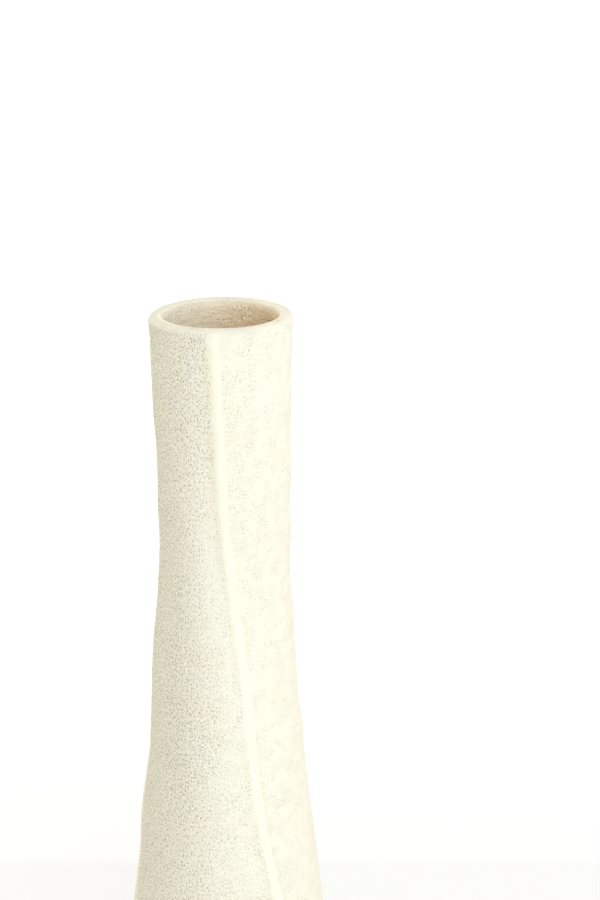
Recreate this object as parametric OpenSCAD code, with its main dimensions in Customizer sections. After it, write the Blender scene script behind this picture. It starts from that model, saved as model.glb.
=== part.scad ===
// Tall bottle vase of rough white stoneware, built from twisted wall slabs.
// The wall goes up in three courses of three slabs, since a taller slab of soft clay would sag.
// The slabs meet at three seams that wind slowly round the body from the lip to the foot.
// A coil of clay fills the V groove of each seam and stands proud of it as a soft rib.
// Lengths are in millimetres and angles in degrees. The vase stands on its pads at z = 0.

/* [Body] */
// Height from the table to the top of the lip
vase_h = 450; // [380:1:600]
// Outside diameter of the wall at the mouth
mouth_d = 71; // [60:0.5:90]
// Outside diameter of the neck at its narrowest
waist_d = 67.6; // [56:0.1:86]
// Height of the narrowest point of the neck
waist_z = 328; // [300:1:345]
// Outside diameter of the throat, where the neck starts to flare
throat_d = 73.6; // [68:0.1:80]
// Height of the throat
throat_z = 272; // [240:1:290]
// Outside diameter at the upper mark on the flare
upper_flare_d = 84.4; // [80:0.1:96]
// Height of the upper mark on the flare
upper_flare_z = 205; // [180:1:230]
// Outside diameter at the lower mark on the flare
lower_flare_d = 103.2; // [97:0.1:112]
// Height of the lower mark on the flare
lower_flare_z = 124; // [90:1:150]
// Outside diameter of the belly, the widest point
belly_d = 123; // [113:0.5:150]
// Height of the belly
belly_z = 38; // [32:1:70]
// Outside diameter where the wall stands on the base slab
foot_d = 118; // [104:0.5:140]
// Thickness of the clay wall
wall_t = 6; // [4.5:0.1:8]
// Height of the joint between the lower and middle courses of slabs
lower_joint_z = 156; // [130:1:190]
// Height of the joint between the middle and upper courses
upper_joint_z = 300; // [240:1:340]

/* [Lip] */
// Height of the lip coil
lip_h = 4.6; // [4:0.1:9]
// How much thicker than the wall the lip coil is, half of it on each side
lip_extra = 0.8; // [0:0.1:2]

// Rounding of the lip's outer edge
lip_outer_round = 3.3; // [1:0.1:3.8]
// Rounding of the lip's inner edge
lip_inner_round = 1.2; // [0.5:0.1:2.5]
// Height by which the top of the lip falls towards the inside
lip_fall = 0.3; // [0:0.1:1]

/* [Seams] */
// Turn of the seams from the top of the vase to the table
twist_angle = 63; // [0:0.5:120]
// How late the turn sets in on the way down, 1 being an even turn
twist_ease_ratio = 1.2; // [1:0.05:2]
// Angle at the mouth from the front of the vase to the front seam
seam_start_angle = -5; // [-30:0.5:30]
// Sideways wander of the seams to either side of their curve
seam_wander_angle = 1.6; // [0:0.1:4]
// Width of the seam ribs
rib_w = 8; // [5:0.1:12]
// Height of the seam ribs at the mouth
rib_h_mouth = 0.8; // [0.4:0.1:2.5]
// Height of the seam ribs at the foot
rib_h_foot = 0.5; // [0.2:0.1:2]
// Height by which the slabs swell towards each seam
swell_h = 0.8; // [0:0.1:2]
// Length over which the ribs and the swell run out at the lip and at the base
rib_runout = 5; // [3:0.5:9]
// Thickness of the butt joint left inside the V groove of a seam
land_t = 2; // [1:0.1:3]

/* [Base] */
// Thickness of the base slab
base_t = 8; // [7:0.1:14]
// Rounding of the base slab's lower edge
base_round = 6.5; // [3:0.1:7]
// Height of the step that the wall stands round
rebate_h = 2; // [1:0.1:4]
// Leg of the coil pressed into the inside corner of the base
corner_coil_r = 6; // [3:0.1:10]
// Distance of the foot ring in from the outside of the base slab
foot_inset = 9; // [7:0.1:13]
// Width of the foot ring
foot_ring_w = 10; // [9:0.1:16]
// Height of the foot ring
foot_ring_h = 4; // [3:0.1:8]
// Bevel on the edges of the foot ring
foot_bevel = 0.8; // [0.3:0.1:1.2]

/* [Felt pads] */
// Diameter of a felt pad
pad_d = 8; // [6:0.1:8.5]
// Thickness of a felt pad
pad_t = 1.5; // [1:0.1:3]

/* [Hidden] */

// Clearance between parts that are not faced together
gap = 0.3;
// Number of seams, and of wall slabs between them
seam_n = 3;
pitch_angle = 360 / seam_n;
// Direction of the front of the vase
front_angle = -90;
// Share of the height that one wander of the seams takes, and where it peaks
wander_period_share = 0.36;
wander_peak_share = 0.40;
// Share of a slab's width over which it swells towards a seam
swell_reach_share = 0.24;
// Number of pads, and the direction of the first
pad_n = 4;
pad_start_angle = 0;

// Steps of the mesh: up a course, round a slab and across a rib
course_steps = 12;
arc_steps = 14;
rib_steps = 8;
// Steps of the mesh round an edge of the lip
lip_steps = 8;
$fn = 96;

// Heights of the stack, from the table up
foot_ring_z = pad_t;
base_z = foot_ring_z + foot_ring_h;
wall_z = base_z + base_t;
wall_top = vase_h - lip_h;
floor_z = wall_z + rebate_h;
// Outside radius of the foot ring, and of the circle that the pads stand on
foot_ring_r = foot_d / 2 - foot_inset;
pad_circle_r = foot_ring_r - foot_ring_w / 2;

// Outline of the wall from foot to mouth, as height and radius
stations = [
    [wall_z, foot_d / 2],
    [belly_z, belly_d / 2],
    [lower_flare_z, lower_flare_d / 2],
    [upper_flare_z, upper_flare_d / 2],
    [throat_z, throat_d / 2],
    [waist_z, waist_d / 2],
    [wall_top, mouth_d / 2]
];
last_station = len(stations) - 1;

// Slope of the outline at station i, level where it is widest and narrowest
function chord(a, b) = (stations[b][1] - stations[a][1]) / (stations[b][0] - stations[a][0]);
function slope(i) =
    i == 0 ? 1.5 * chord(0, 1) :
    i == last_station ? 1.2 * chord(i - 1, i) :
    chord(i - 1, i) * chord(i, i + 1) <= 0 ? 0 :
    chord(i - 1, i + 1);

// Cubic between two stations, with t running from 0 to 1
function blend(r0, m0, r1, m1, t) =
    r0 * (2 * t ^ 3 - 3 * t ^ 2 + 1) + m0 * (t ^ 3 - 2 * t ^ 2 + t)
    + r1 * (3 * t ^ 2 - 2 * t ^ 3) + m1 * (t ^ 3 - t ^ 2);
function span_at(z, i = 0) = i >= last_station - 1 || z <= stations[i + 1][0] ? i : span_at(z, i + 1);
function span_radius(z, i, rise) =
    blend(stations[i][1], slope(i) * rise, stations[i + 1][1], slope(i + 1) * rise,
          (z - stations[i][0]) / rise);
function plain_radius(z) =
    let (i = span_at(z)) span_radius(z, i, stations[i + 1][0] - stations[i][0]);
function inner_radius(z) = plain_radius(z) - wall_t;

// Direction of seam k at height z
function drop(z) = (vase_h - z) / vase_h;
function wander(t) = seam_wander_angle * cos(360 * (t - wander_peak_share) / wander_period_share);
function seam_angle(k, z) =
    front_angle + seam_start_angle + pitch_angle * k
    + twist_angle * drop(z) ^ twist_ease_ratio + wander(drop(z));

// Share of the swell and of the ribs that is left at height z: none at the two ends
function relief_share(z) = z > wall_z && z < wall_top ? 1 : 0;

// Outside radius of a slab, at an angle off the nearer seam. The swell is a soft tent.
function swell(off) =
    let (u = min(1, off / (pitch_angle * swell_reach_share))) swell_h * (1 - u) ^ 2;
function slab_radius(z, off) = plain_radius(z) + swell(off) * relief_share(z);

// Half the angle that a rib covers, and the height of its crest above the slabs
function rib_half(z) = (rib_w / 2) / plain_radius(z) * 180 / PI;
function rib_height(z) = (rib_h_mouth + (rib_h_foot - rib_h_mouth) * drop(z)) * relief_share(z);
function rib_radius(z, off) =
    slab_radius(z, abs(off)) + rib_height(z) * (1 + cos(180 * off / rib_half(z))) / 2;

function polar(r, a, z) = [r * cos(a), r * sin(a), z];

// Heights of the mesh levels of course c, with the runouts of the ribs as steps of their own
course_ends = [[wall_z + rib_runout, lower_joint_z],
               [lower_joint_z, upper_joint_z],
               [upper_joint_z, wall_top - rib_runout]];
last_course = len(course_ends) - 1;
function course_levels(c) =
    concat(
        c == 0 ? [wall_z] : [],
        [for (i = [0:course_steps])
            let (t = i / course_steps) course_ends[c][0] * (1 - t) + course_ends[c][1] * t],
        c == last_course ? [wall_top] : []
    );
// The same for a seam, which runs through all the courses
seam_levels = [for (c = [0:last_course])
    let (own = course_levels(c))
    for (i = [c == 0 ? 0 : 1:len(own) - 1]) own[i]];

// One level of the slab between seam k and the next, round the outside and back inside
function slab_level(k, z) =
    let (a = seam_angle(k, z), b = a + pitch_angle, half = rib_half(z),
         first = a + half, last = b - half, land_r = inner_radius(z) + land_t)
    concat(
        [for (j = [0:arc_steps])
            let (q = first + (last - first) * j / arc_steps)
            polar(slab_radius(z, min(q - a, b - q)), q, z)],
        [polar(land_r, b, z)],
        [for (j = [0:arc_steps]) polar(inner_radius(z), b - pitch_angle * j / arc_steps, z)],
        [polar(land_r, a, z)]
    );

// One level of the coil in seam k: its rounded rib, then its root in the groove
function coil_level(k, z) =
    let (a = seam_angle(k, z), half = rib_half(z))
    concat(
        [for (j = [0:rib_steps])
            let (off = half * (2 * j / rib_steps - 1))
            polar(rib_radius(z, off), a + off, z)],
        [polar(inner_radius(z) + land_t, a, z)]
    );

// Triangles that close the first level of a slab or of a coil, by the numbers of its points
slab_end = [for (j = [0:arc_steps])
    let (inside = 2 * arc_steps + 2 - j)
    each [[j, j + 1, inside], [j, inside, inside + 1]]];
coil_end = [for (j = [0:rib_steps - 1]) [j, j + 1, rib_steps + 1]];

// Solid through a stack of levels. Columns in crossed have the other diagonal, so that
// the joint faces of neighbours are the same triangles.
module stacked(levels, crossed, end) {
    n = len(levels[0]);
    top = len(levels) - 1;
    sides = [for (i = [0:top - 1], j = [0:n - 1], half = [0, 1])
        let (p = i * n + j, q = i * n + (j + 1) % n, crossing = len(search(j, crossed)) > 0)
        crossing
            ? (half == 0 ? [p, p + n, q] : [p + n, q + n, q])
            : (half == 0 ? [p, p + n, q + n] : [p, q + n, q])];
    upper_end = [for (t = end) [top * n + t[2], top * n + t[1], top * n + t[0]]];
    polyhedron([for (ring = levels, point = ring) point],
               concat(sides, end, upper_end), convexity = 6);
}

// Slab of course c between seam k and the next
module wall_slab(c, k) {
    color("#ECE7D5")
        stacked([for (z = course_levels(c)) slab_level(k, z)], [arc_steps, arc_steps + 1], slab_end);
}

module seam_coil(k) {
    color("#F2EEDF")
        stacked([for (z = seam_levels) coil_level(k, z)], [rib_steps], coil_end);
}

// Quarter round of the lip's section, from the angle start on, about a centre
function lip_corner(r, z, round_r, start) =
    [for (i = [0:lip_steps])
        let (a = start + 90 * i / lip_steps) [r + round_r * cos(a), z + round_r * sin(a)]];

// Ring of clay that closes the tops of the slabs and seams, rounder outside than inside
module lip_coil() {
    outside = (mouth_d + lip_extra) / 2;
    inside = outside - wall_t - lip_extra;
    color("#EFEADA")
        rotate_extrude()
            polygon(concat(
                [[inside, wall_top], [outside, wall_top]],
                lip_corner(outside - lip_outer_round, vase_h - lip_outer_round, lip_outer_round, 0),
                lip_corner(inside + lip_inner_round, vase_h - lip_fall - lip_inner_round,
                           lip_inner_round, 90)
            ));
}

// Disc with a rounded edge, and a step that the wall stands round
module base_slab() {
    color("#E6DFCB")
        rotate_extrude() {
            translate([0, base_z]) square([foot_d / 2 - base_round, base_t]);
            translate([0, base_z + base_round]) square([foot_d / 2, base_t - base_round]);
            intersection() {
                translate([foot_d / 2 - base_round, base_z + base_round]) circle(base_round);
                translate([foot_d / 2 - base_round, base_z]) square(base_round);
            }
            translate([0, wall_z]) square([inner_radius(wall_z) - gap, rebate_h]);
        }
}

// Quarter-round coil worked into the corner between the base and the wall
module corner_coil() {
    outside = min(inner_radius(floor_z), inner_radius(floor_z + corner_coil_r)) - gap;
    color("#E2D8C0")
        rotate_extrude()
            intersection() {
                translate([outside, floor_z]) circle(corner_coil_r);
                translate([outside - corner_coil_r, floor_z]) square(corner_coil_r);
            }
}

// Unglazed ring that lifts the base off the table
module foot_ring() {
    inside = foot_ring_r - foot_ring_w;
    outside = foot_ring_r;
    color("#CDBE9F")
        rotate_extrude()
            polygon([
                [inside + foot_bevel, foot_ring_z],
                [outside - foot_bevel, foot_ring_z],
                [outside, foot_ring_z + foot_bevel],
                [outside, base_z],
                [inside, base_z],
                [inside, foot_ring_z + foot_bevel]
            ]);
}

module felt_pad(k) {
    color("#B9B4AA")
        rotate(pad_start_angle + 360 / pad_n * k)
            translate([pad_circle_r, 0]) cylinder(h = pad_t, d = pad_d);
}

wall_slab(0, 2);  // lower_left_slab
wall_slab(0, 0);  // lower_right_slab
wall_slab(0, 1);  // lower_back_slab
wall_slab(1, 2);  // middle_left_slab
wall_slab(1, 0);  // middle_right_slab
wall_slab(1, 1);  // middle_back_slab
wall_slab(2, 2);  // upper_left_slab
wall_slab(2, 0);  // upper_right_slab
wall_slab(2, 1);  // upper_back_slab
seam_coil(0);  // front_seam_coil
seam_coil(1);  // right_seam_coil
seam_coil(2);  // left_seam_coil
lip_coil();
base_slab();
corner_coil();
foot_ring();
felt_pad(0);  // felt_pad_1
felt_pad(1);  // felt_pad_2
felt_pad(2);  // felt_pad_3
felt_pad(3);  // felt_pad_4
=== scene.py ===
"""Looks of a tall bottle vase in rough cream stoneware, hand built from twisted slabs.

The wall is worked out once as a single skin: up the outside, over the lip and down the inside.
The slabs, the seam coils and the lip are then cut from that skin as closed solids, so the
glaze runs over their joints without a break. Lengths are in millimetres until a mesh is made.
"""

import math

import bpy
import numpy as np
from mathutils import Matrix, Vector, noise


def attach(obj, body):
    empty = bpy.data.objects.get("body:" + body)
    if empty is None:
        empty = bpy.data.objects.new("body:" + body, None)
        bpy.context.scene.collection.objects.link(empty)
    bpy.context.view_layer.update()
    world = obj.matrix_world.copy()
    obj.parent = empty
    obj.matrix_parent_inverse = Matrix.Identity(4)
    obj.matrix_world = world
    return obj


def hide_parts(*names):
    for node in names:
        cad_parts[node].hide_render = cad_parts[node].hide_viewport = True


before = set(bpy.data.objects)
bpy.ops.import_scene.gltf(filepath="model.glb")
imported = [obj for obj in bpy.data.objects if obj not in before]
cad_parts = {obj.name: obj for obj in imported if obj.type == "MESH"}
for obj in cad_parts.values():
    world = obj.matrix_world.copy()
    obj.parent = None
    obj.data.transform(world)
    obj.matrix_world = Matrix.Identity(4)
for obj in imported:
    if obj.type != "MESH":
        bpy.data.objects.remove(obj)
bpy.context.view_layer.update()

MM = 0.001

# The vase, as in the part's source
VASE_H = 450.0
MOUTH_D = 71.0
WALL_T = 6.0
LIP_H, LIP_EXTRA = 4.6, 0.8
STATIONS = (  # height and radius of the plain wall, from foot to mouth
    (13.5, 59.0), (38.0, 61.5), (124.0, 51.6), (205.0, 42.2), (272.0, 36.8), (328.0, 33.8),
    (445.4, 35.5),
)
FOOT_SLOPE, MOUTH_SLOPE = 1.5, 1.2  # at the ends of that curve, as shares of its chords'
JOINTS = (156.0, 300.0)  # between the courses of slabs
COURSES = ("lower", "middle", "upper")
SLABS = ("right", "back", "left")  # slab k stands between seam k and the next
SEAMS = ("front", "right", "left")
PITCH = 120.0  # degrees from seam to seam
SEAM_START, TWIST, TWIST_EASE = -95.0, 63.0, 1.2  # of the front seam, from the mouth down
WANDER, WANDER_PERIOD, WANDER_PEAK = 1.6, 0.36, 0.40
RIB_W, RIB_AT_MOUTH, RIB_AT_FOOT = 8.0, 0.8, 0.5
SWELL, SWELL_REACH = 0.8, 0.24  # of the slabs towards a seam
LAND = 2.0  # left of the wall at the bottom of a seam's V groove
BASE_Z, BASE_ROUND = 5.5, 6.5
REBATE, GAP = 2.0, 0.3  # height of the base's step, and the room round it
CORNER_COIL = 6.0
FOOT_RING_OUT, FOOT_RING_W, FOOT_BEVEL = 50.0, 10.0, 0.8
PAD_T, PAD_CIRCLE = 1.5, 45.0

WALL_Z = STATIONS[0][0]
WALL_TOP = VASE_H - LIP_H
FLOOR_Z = WALL_Z + REBATE
LIP_W = WALL_T + LIP_EXTRA

# Unevenness of the hands, which only the looks have
LEFT_SPINE = (  # height, and how far the left side stands out of the plain wall
    (13.5, 0.0), (38.0, 0.0), (70.0, 0.1), (100.0, -0.8), (126.0, -1.8), (140.0, -2.3),
    (157.0, -2.4), (166.0, -1.6), (176.0, -1.1), (193.0, -1.4), (211.0, -2.0), (230.0, -1.2),
    (247.0, -0.6), (262.0, 0.2), (275.0, 0.3), (295.0, -0.4), (312.0, -0.6), (333.0, -1.1),
    (352.0, -0.7), (364.0, -1.1), (382.0, -1.1), (396.0, -0.4), (420.0, -0.2), (436.0, -0.2),
    (450.0, -0.3),
)
RIGHT_SPINE = (
    (13.5, 0.0), (38.0, 0.0), (66.0, 0.1), (100.0, 0.1), (132.0, -0.3), (150.0, -0.2),
    (166.0, 0.1), (180.0, 0.0), (208.0, -0.3), (226.0, 0.3), (243.0, -0.5), (262.0, -0.1),
    (280.0, 0.0), (296.0, 0.5), (306.0, 0.2), (318.0, 0.5), (338.0, 0.8), (349.0, 0.1),
    (362.0, 0.9), (375.0, 0.8), (392.0, 0.0), (407.0, 0.3), (422.0, 0.1), (436.0, 0.2),
    (450.0, 0.0),
)
FRONT_SPINE = (
    (13.5, 0.0), (38.0, -0.1), (80.0, 0.2), (120.0, -0.2), (165.0, 0.3), (205.0, -0.2),
    (240.0, 0.2), (285.0, -0.3), (330.0, 0.2), (365.0, -0.2), (405.0, 0.2), (450.0, 0.0),
)
BACK_SPINE = (
    (13.5, 0.0), (38.0, -0.2), (90.0, 0.3), (130.0, -0.4), (175.0, 0.2), (215.0, 0.5),
    (260.0, -0.3), (310.0, -0.5), (350.0, 0.3), (395.0, 0.4), (430.0, -0.2), (450.0, 0.0),
)
DENT_SIZE, DENT_DEPTH = 38.0, 0.24
PRESS_SIZE, PRESS_DEPTH = 15.0, 0.10
GRAIN_SIZE, GRAIN_DEPTH, INNER_GRAIN_DEPTH = 3.6, 0.055, 0.05
RIB_WIPED, LIP_WIPED, INNER_LIP_WIPED = 0.7, 0.5, 0.8  # the share of the grain that is gone
LEAST_GRAIN, GRAIN_FADE = 0.1, 4.0
BELLY_TOP, BELLY_FADE = 45.0, 45.0  # height where the belly ends, and how far up it fades
BELLY_INSET, BELLY_CALM = 0.25, 0.5  # it keeps inside its nominal width, and has fewer dents
RIB_LUMPS, RIB_LUMP_SIZE = 0.2, 26.0  # unevenness of a rib's height
RIB_RUNOUT = 6.0
RIB_LEFT_AT_LIP = 0.5
LIP_BEAD, LIP_BEAD_REACH = 0.4, 9.0
LIP_SAG, LIP_SAG_LEFT = 0.4, 0.9
SAG_SIZE = 9.0
RIB_RADIUS, SAG_RADIUS = 20.0, 12.0  # of the rings that the noise of ribs and sag follows
SEED_SHIFT = (31.7, 17.3, 7.9)  # from one noise to the next
LIP_OUTER_ROUND, LIP_INNER_ROUND, LIP_FALL = 3.3, 1.2, 0.3
LIP_FLAT_SHARES = (0.33, 0.67)  # rows on its top

# Pieces under the wall and inside it
EDGE_CLEAR = 1.0  # between the flat underside's rows and its rounded edge
UNDER_RINGS = (8.0, 16.0, 24.0, 30.0, 36.0, 41.0, 46.0, 49.5)
UNDER_LUMPS, UNDER_LUMP_SIZE = 0.10, 14.0
STEP_BEVEL = 0.5
FLOOR_RINGS = (51.5, 47.0, 42.0, 36.0, 30.0, 24.0, 16.0, 8.0)
FLOOR_LUMPS, FLOOR_LUMP_SIZE = 0.2, 16.0
DIMPLES, DIMPLE_SHARE, DIMPLE_DEPTH = 27, 0.45, 0.7  # a fingertip's, round the corner coil
DIMPLE_LUMPS, DIMPLE_LUMP_SIZE = 0.35, 11.0
FOOT_FLAT, FOOT_TOP = 2.0, 1.0  # rows beside the middle of its face, and below its top
FOOT_STILL_LOW, FOOT_STILL_HIGH = 0.3, 0.2  # this near its faces it is even
FOOT_LUMPS, FOOT_LUMP_SIZE = 0.12, 9.0
FOOT_GRAIN, FOOT_GRAIN_SIZE = 0.03, 2.5
PAD_SECTION = (  # radius and height, from its middle below to its middle above
    (0.7, 0.0), (2.2, 0.0), (3.3, 0.0), (3.7, 0.04), (3.88, 0.2), (3.97, 0.5),
    (3.99, 0.8), (3.93, 1.15), (3.82, 1.4), (3.6, PAD_T), (2.2, PAD_T), (0.7, PAD_T),
)
FUZZ_FROM, FUZZ, FUZZ_IN, FUZZ_SIZE = 3.5, 0.10, 0.09, 0.7  # frayed edge of a pad
PADS_APART = 20  # in that noise

# How far the pits are filled in, right of the front seam and left of it: painted light, which
# leaves less of their bump and painted shade where the wall is lit more. Reaches and fades round
# the vase are in degrees, other lengths in millimetres.
RIGHT_NEAR, RIGHT_NEAR_LOW, RIGHT_FAR, RIGHT_REACH = 0.75, 0.88, 0.91, 70.0
RIGHT_START, RIGHT_END, RIGHT_FADE = 6.0, 78.0, 40.0
LEFT_NEAR, LEFT_NEAR_LOW = 0.3, 0.72
LEFT_REACH, LEFT_REACH_LOW = 62.0, 88.0
GROWS_BELOW, RIGHT_GROWTH, LEFT_GROWTH = 430.0, 200.0, 110.0  # it grows below this height
SPREAD_FROM, SPREAD = 250.0, 110.0  # and reaches further round on the left below this one
SMOOTH_SEAM, SMOOTH_SEAM_FADE = 1.8, 4.2  # it is wiped smooth over the ribs
OTHER_SEAMS = 0.6  # less so over the ribs that face away
JOINT_LINE = 0.8  # but always on the line where two slabs meet
FLANK, FLANK_W = 3.9, 2.4  # painted shade beside the ribs, this far from their middle
FLANK_FRONT, FLANK_FRONT_LOW, FLANK_OTHER = 1.0, 0.35, 0.2  # most on the left of the front one
RIGHT_SHADE, RIGHT_SHADE_W = 0.55, 24.0  # on its right the painted shade covers a wider stretch, up high
RIGHT_SHADE_FROM, RIGHT_SHADE_RISE = 260.0, 140.0
LIP_SMOOTH, LIP_SMOOTH_RISE, LIP_INNER_LIT = 0.88, 3.0, 1.5
LIP_SHADE_BELOW, LIP_SHADE_RISE = 4.0, 6.0  # the lip's painted shade starts this far below it
LIP_RIGHT, LIP_RIGHT_SLOPE, LIP_RIGHT_FROM = 0.9, 2.0, 0.5  # at the lit right it has the wall's tone, without the painted shade
LIP_HIGHLIGHT_AT, LIP_HIGHLIGHT_W = 5.2, 0.75  # a painted highlight runs along the lip, this far in
LIP_HIGHLIGHT_BACK, LIP_HIGHLIGHT_FALL = 0.75, 1.4
INNER_LIT_SMOOTH, INNER_LIT_CREAM, INNER_LIT_SHARE = 0.85, 0.86, 0.58  # painted light on the inner wall's left, where light falls in over the lip
DOWN_FROM, DOWN_DROP = 0.2, 5.0  # the inside's tan painted shade and its finger marks start this far above the top
SLAB_APART = 500.0  # so that the pits of two slabs are not alike
UNDER_SMOOTH, FLOOR_SMOOTH = 0.4, 0.2
FOOT_WIPED, FOOT_WIPED_RISE = 1.0, 5.0  # it is wiped this far up from the underside

# Mesh
RIB_STEPS = 12
SLAB_STEPS = 84
LEVEL_STEP = 1.0
LIP_STEPS, BASE_STEPS, COIL_STEPS, BEVEL_STEPS = 8, 14, 12, 4  # in a quarter turn
RING_COLUMNS, PAD_COLUMNS = 288, 72
SHARP, PAD_SHARP = 40.0, 50.0  # degrees
SECTOR = RIB_STEPS + SLAB_STEPS
COLUMNS = len(SLABS) * SECTOR
CENTRE = RIB_STEPS // 2
UP = np.array((0.0, 0.0, 1.0))
FLAT = np.array((1, 1, 0))


# Shape of the wall


def smooth(x):
    x = np.clip(x, 0.0, 1.0)
    return x * x * (3 - 2 * x)


def curve(points, at, first_share=0.0, last_share=0.0):
    """Cubic through points of height and value, level where it turns."""
    z = np.array([p[0] for p in points])
    v = np.array([p[1] for p in points])
    chord = np.diff(v) / np.diff(z)
    slope = np.zeros(len(z))
    around = (v[2:] - v[:-2]) / (z[2:] - z[:-2])
    slope[1:-1] = np.where(chord[:-1] * chord[1:] <= 0, 0.0, around)
    slope[0] = first_share * chord[0]
    slope[-1] = last_share * chord[-1]
    at = np.asarray(at, float)
    i = np.clip(np.searchsorted(z, at, side="right") - 1, 0, len(z) - 2)
    rise = z[i + 1] - z[i]
    t = (at - z[i]) / rise
    return (
        v[i] * (2 * t**3 - 3 * t**2 + 1)
        + slope[i] * rise * (t**3 - 2 * t**2 + t)
        + v[i + 1] * (3 * t**2 - 2 * t**3)
        + slope[i + 1] * rise * (t**3 - t**2)
    )


def plain_radius(z):
    return curve(STATIONS, z, FOOT_SLOPE, MOUTH_SLOPE)


def drop(z):
    return (VASE_H - z) / VASE_H


def seam_angle(z):
    """Direction of the front seam at a height, in degrees."""
    down = drop(z)
    wander = WANDER * np.cos(2 * math.pi * (down - WANDER_PEAK) / WANDER_PERIOD)
    return SEAM_START + TWIST * down**TWIST_EASE + wander


def rib_half(z):
    return np.degrees(RIB_W / 2 / plain_radius(z))


def noise_at(points, size, seed):
    """Soft noise of about plus and minus 1, whose lumps are of that size."""
    shift = Vector([seed * length for length in SEED_SHIFT])
    flat = points.reshape(-1, 3) / size
    made = [noise.noise(Vector(p) + shift) for p in flat.tolist()]
    return np.array(made).reshape(points.shape[:-1])


def polar(radius, angle, z):
    a = np.radians(angle)
    return np.stack(
        [radius * np.cos(a), radius * np.sin(a), np.broadcast_to(z, a.shape)], -1
    )


def near_lip(z, reach):
    """0 until that far below the lip, and 1 from its lower edge."""
    return smooth((z - WALL_TOP + reach) / reach)


def quarter(steps):
    """The angles of a quarter turn."""
    return [math.pi / 2 * i / steps for i in range(steps + 1)]


def belly_share(z):
    """1 low down, where the vase is at its widest, and 0 above."""
    return 1 - smooth((z - BELLY_TOP) / BELLY_FADE)


def hand_lumps(angle, z):
    """How far the wall stands out of its plain shape, inside and outside alike."""
    a = np.radians(angle)
    across, along = np.cos(a), np.sin(a)
    held = (
        np.clip(-across, 0, 1) ** 2 * curve(LEFT_SPINE, z)
        + np.clip(across, 0, 1) ** 2 * curve(RIGHT_SPINE, z)
        + np.clip(-along, 0, 1) ** 2 * curve(FRONT_SPINE, z)
        + np.clip(along, 0, 1) ** 2 * curve(BACK_SPINE, z)
    )
    where = polar(plain_radius(np.clip(z, WALL_Z, WALL_TOP)), angle, z)
    low = belly_share(z)
    dents = DENT_DEPTH * noise_at(where, DENT_SIZE, 1)
    pressed = PRESS_DEPTH * noise_at(where, PRESS_SIZE, 2)
    return held + (dents + pressed) * (1 - BELLY_CALM * low) - BELLY_INSET * low


def column_offsets(z):
    """Angle of each column of a sector from its own seam, one row for each height."""
    half = rib_half(z)[:, None]
    rib = half * (2 * np.arange(RIB_STEPS) / RIB_STEPS - 1)
    slab = half + (PITCH - 2 * half) * np.arange(SLAB_STEPS) / SLAB_STEPS
    return np.concatenate([rib, slab], 1)


def wall_levels():
    """Heights of the wall's rows, and the rows where the courses begin and end."""
    ends = (WALL_Z, *JOINTS, WALL_TOP)
    levels, marks = [WALL_Z], [0]
    for low, high in zip(ends, ends[1:]):
        steps = round((high - low) / LEVEL_STEP)
        levels += [low + (high - low) * (i + 1) / steps for i in range(steps)]
        marks.append(len(levels) - 1)
    return np.array(levels), marks


def relief(z, off):
    """Swell of the slabs towards a seam, and the rib on it."""
    u = np.clip(off / (PITCH * SWELL_REACH), 0, 1)
    swell = SWELL * (1 - u) ** 2
    half = rib_half(z)
    height = RIB_AT_MOUTH + (RIB_AT_FOOT - RIB_AT_MOUTH) * drop(z)
    inside = np.clip(off / half, 0, 1)
    rib = height * (1 + np.cos(math.pi * inside)) / 2
    return swell, rib


def lip_section():
    """How far in from the outside and how far up each row of the lip is.

    The outer edge is rounded wide, the top falls a little towards the inside, and the inner
    edge is tighter.
    """
    inner_top = LIP_H - LIP_FALL
    section = [(0.0, (LIP_H - LIP_OUTER_ROUND) / 2)]
    for turn in quarter(LIP_STEPS):
        reach = LIP_OUTER_ROUND * (1 - math.cos(turn))
        section.append((reach, LIP_H - LIP_OUTER_ROUND * (1 - math.sin(turn))))
    flat_in, flat_out = LIP_W - LIP_INNER_ROUND, LIP_OUTER_ROUND
    for t in LIP_FLAT_SHARES:
        section.append((flat_out + (flat_in - flat_out) * t, LIP_H - LIP_FALL * t * t))
    for turn in quarter(LIP_STEPS):
        reach = LIP_W - LIP_INNER_ROUND * (1 - math.sin(turn))
        section.append((reach, inner_top - LIP_INNER_ROUND * (1 - math.cos(turn))))
    section.append((LIP_W, (inner_top - LIP_INNER_ROUND) / 2))
    return section


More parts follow.
